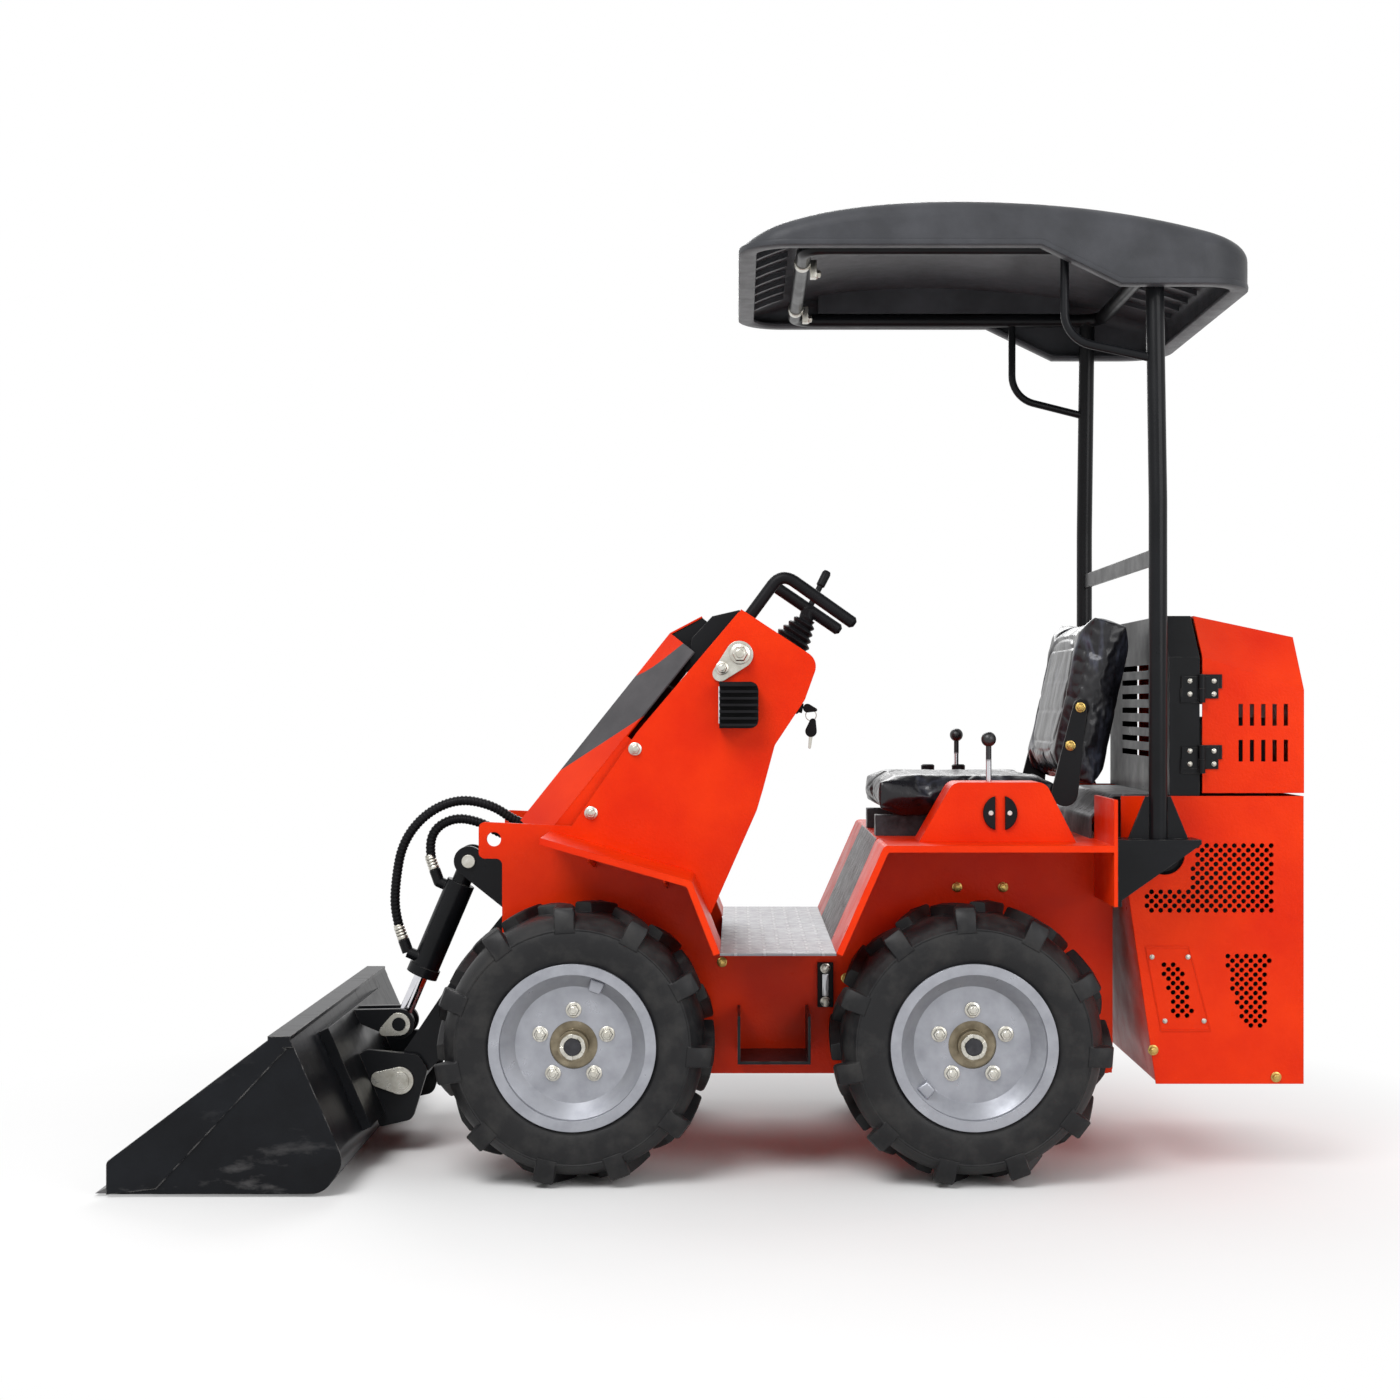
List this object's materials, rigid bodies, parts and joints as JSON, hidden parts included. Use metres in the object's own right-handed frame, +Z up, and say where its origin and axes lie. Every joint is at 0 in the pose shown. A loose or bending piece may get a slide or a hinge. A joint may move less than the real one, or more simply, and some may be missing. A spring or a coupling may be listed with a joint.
{
  "type": "skid steer loader",
  "caption": "Ride-on compact skid steer loader with front bucket on a central boom, control column, seat, canopy on rear posts and engine hood at the back.",
  "frame": {"origin": "centre of the machine's bounding box on the ground under its wheels", "axes": "+X forward to the bucket, +Y to the driver's left, +Z up"},
  "size_m": [2.504, 1.14, 2.0381],
  "materials": {
    "red_paint": "gloss orange-red enamel",
    "black_paint": "satin black enamel",
    "tread_plate": "pale tread plate",
    "dark_plate": "dark grey tread plate",
    "zinc_steel": "zinc plated",
    "wear_steel": "worn bare steel",
    "chrome_rod": "hard chrome",
    "black_plastic": "moulded, fine grain",
    "seat_vinyl": "glossy black vinyl",
    "cast_motor": "painted casting",
    "engine_mass": "dark engine, pumps and hoses taken as one mass of even density",
    "hose_guard": "spiral guard over rubber hose",
    "tyre_rubber": "matt rubber",
    "rim_silver": "silver paint",
    "hub_metal": "machined casting"
  },
  "bodies": {
    "chassis": {"side_plate_left": "red_paint", "side_plate_right": "red_paint", "belly_pan": "red_paint", "floor_plate": "tread_plate", "fender_left": "red_paint", "fender_right": "red_paint", "steps": "black_paint", "column_shell": "red_paint", "boom_pivot_pin": "zinc_steel", "level_gauge": "black_plastic", "work_lamps": "black_plastic", "control_handle": "black_plastic", "wheel_motors": "cast_motor", "seat_deck": "red_paint", "seat_front_panel": "dark_plate", "seat_rails": "zinc_steel", "seat_cushion": "seat_vinyl", "seat_back": "seat_vinyl", "consoles": "red_paint", "hand_levers": "black_plastic", "rear_sides": "red_paint", "air_cleaner": "black_plastic", "rear_panel": "red_paint", "rear_shelf": "dark_plate", "engine_block": "engine_mass", "bulkhead": "black_paint", "hood_hinge_fixed": "black_paint", "post_brackets": "black_paint", "canopy_frame": "black_paint", "canopy": "black_plastic"},
    "boom": {"boom_arm": "black_paint", "boom_cover": "red_paint", "hose_guide": "black_paint", "boom_pins": "zinc_steel"},
    "lift_barrel": {"lift_barrel": "black_paint"},
    "lift_rod": {"lift_rod": "chrome_rod"},
    "tilt_barrel": {"tilt_barrel": "black_paint", "hose_outer": "hose_guard", "hose_inner": "hose_guard"},
    "tilt_rod": {"tilt_rod": "chrome_rod"},
    "bucket": {"quick_attach": "black_paint", "pin_keepers": "zinc_steel", "bucket_shell": "black_paint", "cutting_edge": "wear_steel"},
    "hood": {"hood": "red_paint", "hood_hinge_moving": "black_paint"},
    "wheel_front_left": {"tyre_front_left": "tyre_rubber", "rim_front_left": "rim_silver", "hub_front_left": "hub_metal"},
    "wheel_front_right": {"tyre_front_right": "tyre_rubber", "rim_front_right": "rim_silver", "hub_front_right": "hub_metal"},
    "wheel_rear_left": {"tyre_rear_left": "tyre_rubber", "rim_rear_left": "rim_silver", "hub_rear_left": "hub_metal"},
    "wheel_rear_right": {"tyre_rear_right": "tyre_rubber", "rim_rear_right": "rim_silver", "hub_rear_right": "hub_metal"}
  },
  "joints": [
    {"name": "wheel_front_left_spin", "type": "hinge", "parent": "chassis", "child": "wheel_front_left", "pos_m": [0.29, 0.402, 0.292], "axis": [0, 1, 0], "continuous": true},
    {"name": "wheel_front_right_spin", "type": "hinge", "parent": "chassis", "child": "wheel_front_right", "pos_m": [0.29, -0.402, 0.292], "axis": [0, 1, 0], "continuous": true},
    {"name": "wheel_rear_left_spin", "type": "hinge", "parent": "chassis", "child": "wheel_rear_left", "pos_m": [-0.535, 0.402, 0.292], "axis": [0, 1, 0], "continuous": true},
    {"name": "wheel_rear_right_spin", "type": "hinge", "parent": "chassis", "child": "wheel_rear_right", "pos_m": [-0.535, -0.402, 0.292], "axis": [0, 1, 0], "continuous": true},
    {"name": "boom_lift", "type": "hinge", "parent": "chassis", "child": "boom", "pos_m": [-0.053, 0, 1.104], "axis": [0, -1, 0], "range_deg": [0, 75]},
    {"name": "bucket_tilt", "type": "hinge", "parent": "boom", "child": "bucket", "pos_m": [0.697, 0, 0.165], "axis": [0, 1, 0], "range_deg": [-15, 90]},
    {"name": "hood_swing", "type": "hinge", "parent": "chassis", "child": "hood", "pos_m": [-1.033, 0.363, 0.955], "axis": [0, 0, -1], "range_deg": [0, 100]},
    {"name": "lift_barrel_swing", "type": "hinge", "parent": "chassis", "child": "lift_barrel", "pos_m": [0.06, 0, 0.34], "axis": [0, -1, 0], "range_deg": [-5.75, 0.5]},
    {"name": "lift_rod_slide", "type": "slide", "parent": "lift_barrel", "child": "lift_rod", "axis": [0.071, 0, 0.9975], "range_m": [-0.002, 0.2821]},
    {"name": "tilt_barrel_swing", "type": "hinge", "parent": "boom", "child": "tilt_barrel", "pos_m": [0.562, 0, 0.64], "axis": [0, 1, 0], "range_deg": [-5.45, 1.32]},
    {"name": "tilt_rod_slide", "type": "slide", "parent": "tilt_barrel", "child": "tilt_rod", "axis": [0.3927, 0, -0.9197], "range_m": [-0.0261, 0.1465]}
  ],
  "couplings": [
    {"joint": "lift_barrel_swing", "follows": "boom_lift", "ratio": -0.07},
    {"joint": "lift_rod_slide", "follows": "boom_lift", "m_per_rad": 0.214},
    {"joint": "tilt_barrel_swing", "follows": "bucket_tilt", "ratio": -0.055},
    {"joint": "tilt_rod_slide", "follows": "bucket_tilt", "m_per_rad": 0.092}
  ]
}
